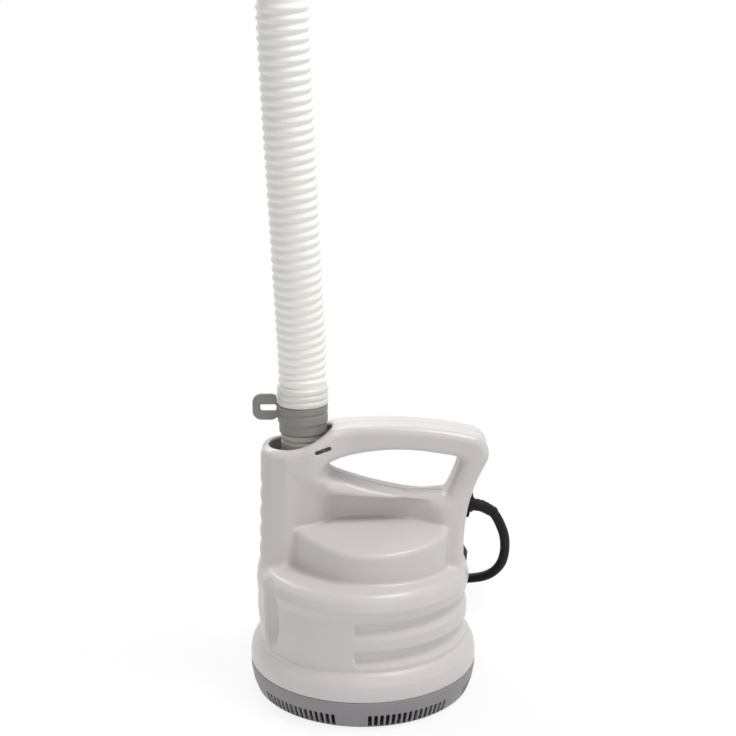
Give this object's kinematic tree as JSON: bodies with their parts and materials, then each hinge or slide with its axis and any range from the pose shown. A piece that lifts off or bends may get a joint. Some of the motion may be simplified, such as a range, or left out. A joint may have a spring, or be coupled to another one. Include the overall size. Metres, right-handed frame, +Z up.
{
  "type": "pool drain pump",
  "caption": "Submersible pool drain pump: round strainer base, grooved drum with a raised motor dome, loop handle, riser column and a ribbed drain hose.",
  "frame": {"origin": "middle of the base, on the surface that the pump stands on", "axes": "+X towards the handle leg and the cord gland, -Y the front, +Z up along the drum axis"},
  "size_m": [0.2131, 0.3853, 0.598],
  "materials": {
    "front_shell": "satin moulded",
    "rear_shell": "satin moulded",
    "shell_screws": "plain",
    "base_strainer": "fine grained",
    "base_screws": "plain",
    "rubber_feet": "matte",
    "deck_plate": "matte",
    "deck_screws": "plain",
    "suction_cover": "matte",
    "volute_casing": "matte",
    "impeller": "smooth",
    "shaft_seal": "matte",
    "motor_can": "semi gloss",
    "lower_bracket": "cast",
    "upper_bracket": "cast",
    "lower_bearing": "ground",
    "upper_bearing": "ground",
    "stator_core": "laminated",
    "stator_windings": "enamelled",
    "rotor": "machined",
    "shaft": "ground",
    "capacitor": "drawn",
    "terminal_block": "matte",
    "riser_pipe": "smooth",
    "outlet_stub": "smooth",
    "outlet_collar": "fine grained",
    "hose_seal": "matte",
    "hose_cuff": "smooth",
    "drain_hose": "translucent",
    "hose_end_fitting": "fine grained",
    "cord_gland": "matte",
    "cord_clamp": "matte",
    "inner_lead": "matte",
    "motor_leads": "smooth",
    "power_cord": "matte",
    "cord_coil": "matte",
    "cord_tail": "matte",
    "cord_tie": "woven",
    "mains_plug": "matte",
    "plug_pins": "plated"
  },
  "bodies": {
    "housing": {"front_shell": "front_shell", "rear_shell": "rear_shell", "shell_screws": "shell_screws", "base_strainer": "base_strainer", "base_screws": "base_screws", "rubber_feet": "rubber_feet", "deck_plate": "deck_plate", "deck_screws": "deck_screws", "suction_cover": "suction_cover", "volute_casing": "volute_casing", "shaft_seal": "shaft_seal", "motor_can": "motor_can", "lower_bracket": "lower_bracket", "upper_bracket": "upper_bracket", "lower_bearing": "lower_bearing", "upper_bearing": "upper_bearing", "stator_core": "stator_core", "stator_windings": "stator_windings", "capacitor": "capacitor", "terminal_block": "terminal_block", "riser_pipe": "riser_pipe", "outlet_stub": "outlet_stub", "hose_seal": "hose_seal", "hose_cuff": "hose_cuff", "drain_hose": "drain_hose", "hose_end_fitting": "hose_end_fitting", "cord_gland": "cord_gland", "cord_clamp": "cord_clamp", "inner_lead": "inner_lead", "motor_leads": "motor_leads", "power_cord": "power_cord", "cord_coil": "cord_coil", "cord_tail": "cord_tail", "cord_tie": "cord_tie", "mains_plug": "mains_plug", "plug_pins": "plug_pins"},
    "rotor": {"rotor": "rotor", "shaft": "shaft", "impeller": "impeller"},
    "collar": {"outlet_collar": "outlet_collar"}
  },
  "joints": [
    {"name": "rotor_spin", "type": "hinge", "parent": "housing", "child": "rotor", "pos_m": [0.008, 0, 0.083], "axis": [0, 0, 1], "continuous": true},
    {"name": "collar_turn", "type": "hinge", "parent": "housing", "child": "collar", "pos_m": [-0.0475, 0, 0.22575], "axis": [0, 0, 1], "range_deg": [0, 60]}
  ]
}
